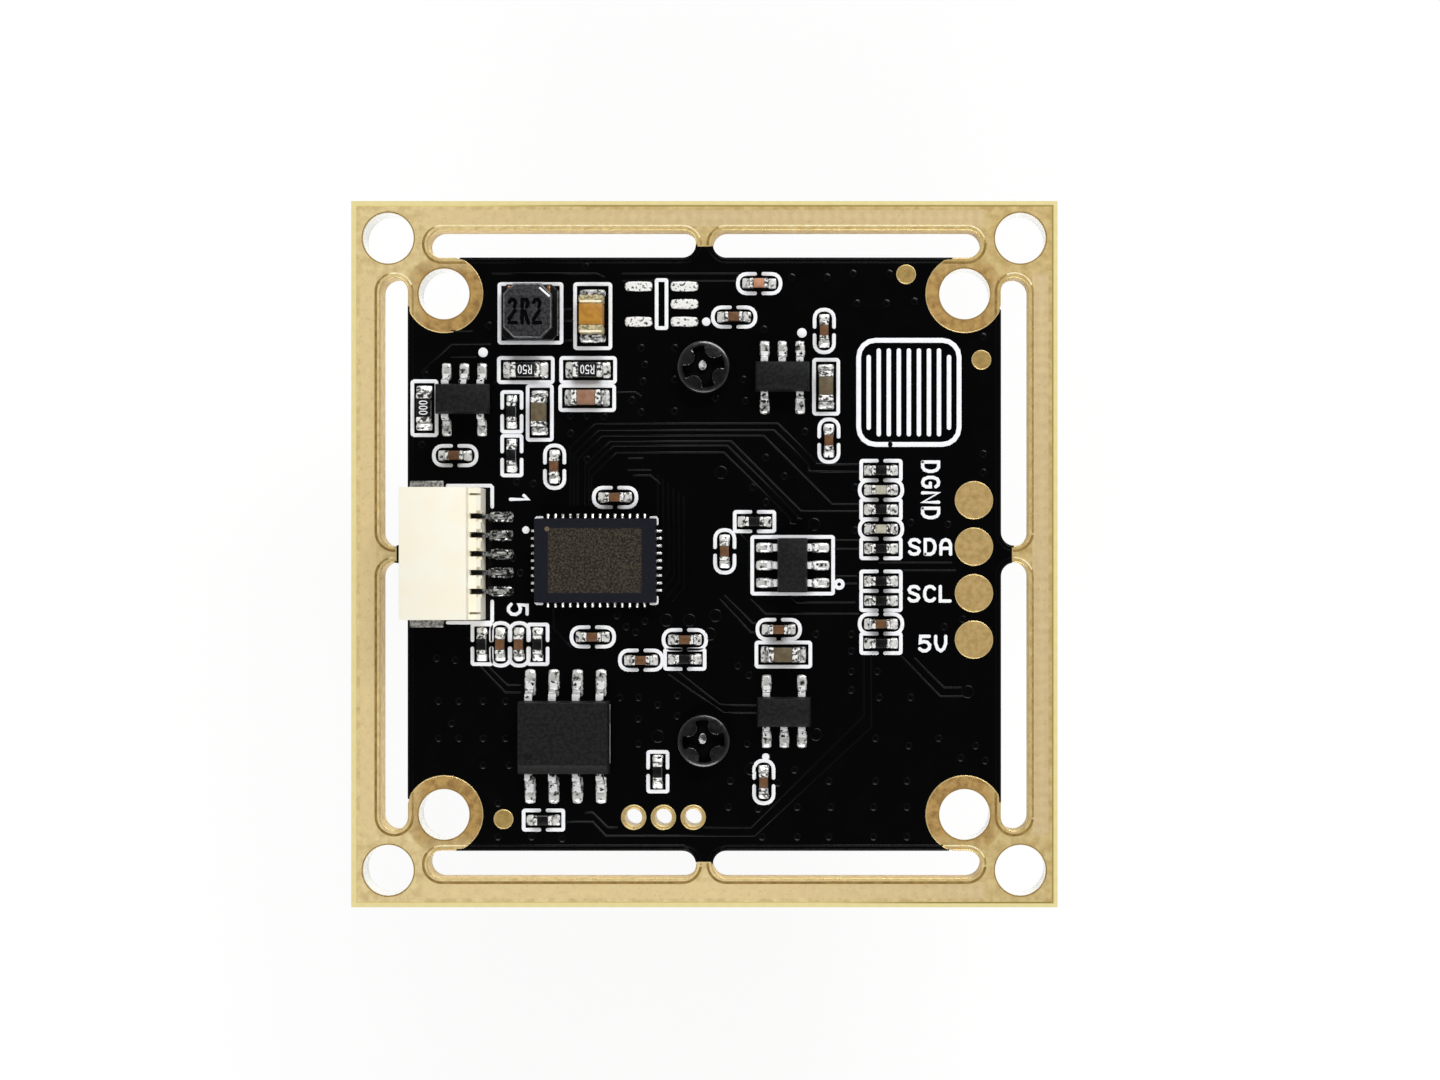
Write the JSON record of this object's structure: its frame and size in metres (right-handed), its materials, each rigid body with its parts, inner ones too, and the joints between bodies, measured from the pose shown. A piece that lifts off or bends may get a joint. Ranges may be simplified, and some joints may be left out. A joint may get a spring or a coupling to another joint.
{
  "type": "camera module",
  "caption": "Square board camera module: bridge chip, socket and chip parts on one face, a threaded holder with a fixed lens on the other, in a slotted break-away frame.",
  "frame": {"origin": "centre of the lens's flat rim, on the optical axis, at the lowest plane of the part", "axes": "+Z along the optical axis from the lens to the component face, -X out of the socket's mouth, +Y up the component face"},
  "size_m": [0.038, 0.038, 0.021],
  "materials": {
    "laminate": "bare glass-epoxy laminate, pale yellow",
    "gold_finish": "matt immersion gold over copper",
    "black_lacquer": "black solder mask, half gloss",
    "white_ink": "white printed legend",
    "solder": "reflowed solder",
    "black_plastic": "moulded black plastic",
    "filter_glass": "coated flat glass",
    "lens_glass": "coated lens glass",
    "black_steel": "black plated steel",
    "black_aluminium": "black anodised aluminium",
    "dark_ceramic": "dark ceramic",
    "light_ceramic": "light ceramic",
    "silicon": "polished silicon",
    "tinned_metal": "tin plated",
    "ivory_plastic": "ivory nylon",
    "mould_compound": "black mould compound",
    "ferrite": "dark grey ferrite",
    "copper_wire": "lacquered copper wire",
    "brown_ceramic": "brown ceramic",
    "grey_ceramic": "light grey ceramic",
    "black_glaze": "black glazed film on white ceramic",
    "grey_brown_ceramic": "grey-brown ceramic",
    "ochre_ceramic": "ochre ceramic"
  },
  "bodies": {
    "root": {"board_core": "laminate", "gold_plating": "gold_finish", "solder_mask": "black_lacquer", "legend": "white_ink", "test_pads": "gold_finish", "alignment_marks": "gold_finish", "wire_eyelets": "gold_finish", "spare_pads": "solder", "lens_holder": "black_plastic", "infrared_filter": "filter_glass", "lens_screws": "black_steel", "lens_barrel": "black_aluminium", "front_element": "lens_glass", "middle_element": "lens_glass", "rear_element": "lens_glass", "aperture_ring": "black_aluminium", "lens_spacer": "black_aluminium", "retaining_ring": "black_aluminium", "sensor_package": "dark_ceramic", "sensor_die": "silicon", "sensor_glass": "filter_glass", "crystal_package": "light_ceramic", "crystal_lid": "tinned_metal", "socket_housing": "ivory_plastic", "socket_contacts": "tinned_metal", "socket_anchors": "tinned_metal", "bridge_chip": "mould_compound", "bridge_contacts": "tinned_metal", "flash_chip": "mould_compound", "flash_leads": "tinned_metal", "regulator_chips": "mould_compound", "regulator_leads": "tinned_metal", "six_lead_chip": "mould_compound", "six_lead_leads": "tinned_metal", "inductor_core": "ferrite", "inductor_winding": "copper_wire", "inductor_terminals": "tinned_metal", "small_capacitors": "brown_ceramic", "small_beads": "grey_ceramic", "small_resistors": "black_glaze", "small_terminals": "tinned_metal", "medium_capacitors": "grey_brown_ceramic", "medium_resistors": "black_glaze", "medium_terminals": "tinned_metal", "large_capacitor": "ochre_ceramic", "large_terminals": "tinned_metal", "chip_solder": "solder", "lead_solder": "solder"}
  },
  "joints": []
}
